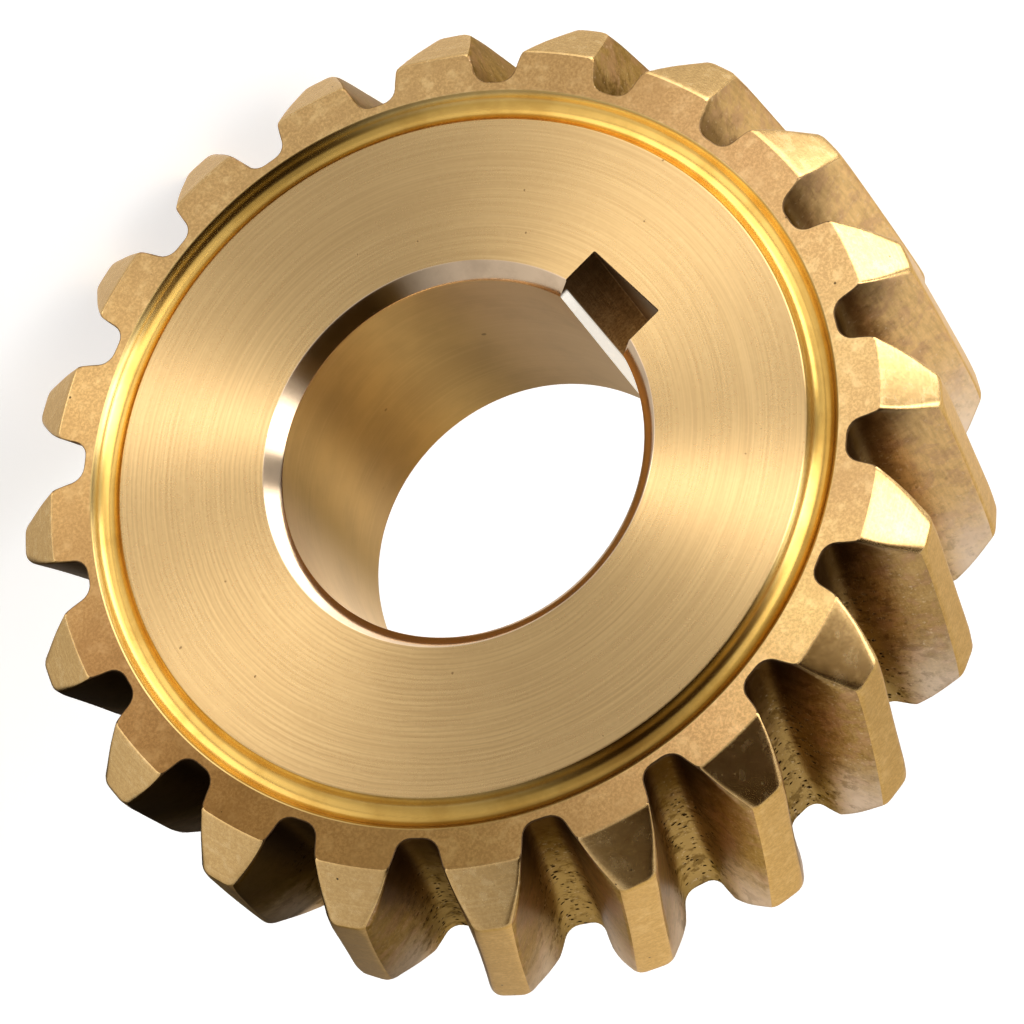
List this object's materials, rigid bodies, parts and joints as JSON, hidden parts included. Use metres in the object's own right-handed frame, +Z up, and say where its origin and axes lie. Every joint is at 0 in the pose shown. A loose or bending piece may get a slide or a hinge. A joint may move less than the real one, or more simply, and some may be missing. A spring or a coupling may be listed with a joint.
{
  "type": "worm wheel",
  "caption": "One-piece bronze worm wheel with slanted round-bottomed tooth spaces, bevelled tooth ends, a ring groove on each face and a chamfered, keyed through bore.",
  "frame": {"origin": "centre of the bore, at half the face width", "axes": "+Z up; the wheel stands up and turns about +Y, which is the bore axis; the front face looks to -Y; the keyway is on the -X side"},
  "size_m": [0.0646, 0.0212, 0.0646],
  "materials": {
    "bronze": "turned faces with fine ring marks, cut tooth flanks, polished ring groove"
  },
  "bodies": {
    "root": {"worm_wheel": "bronze"}
  },
  "joints": []
}
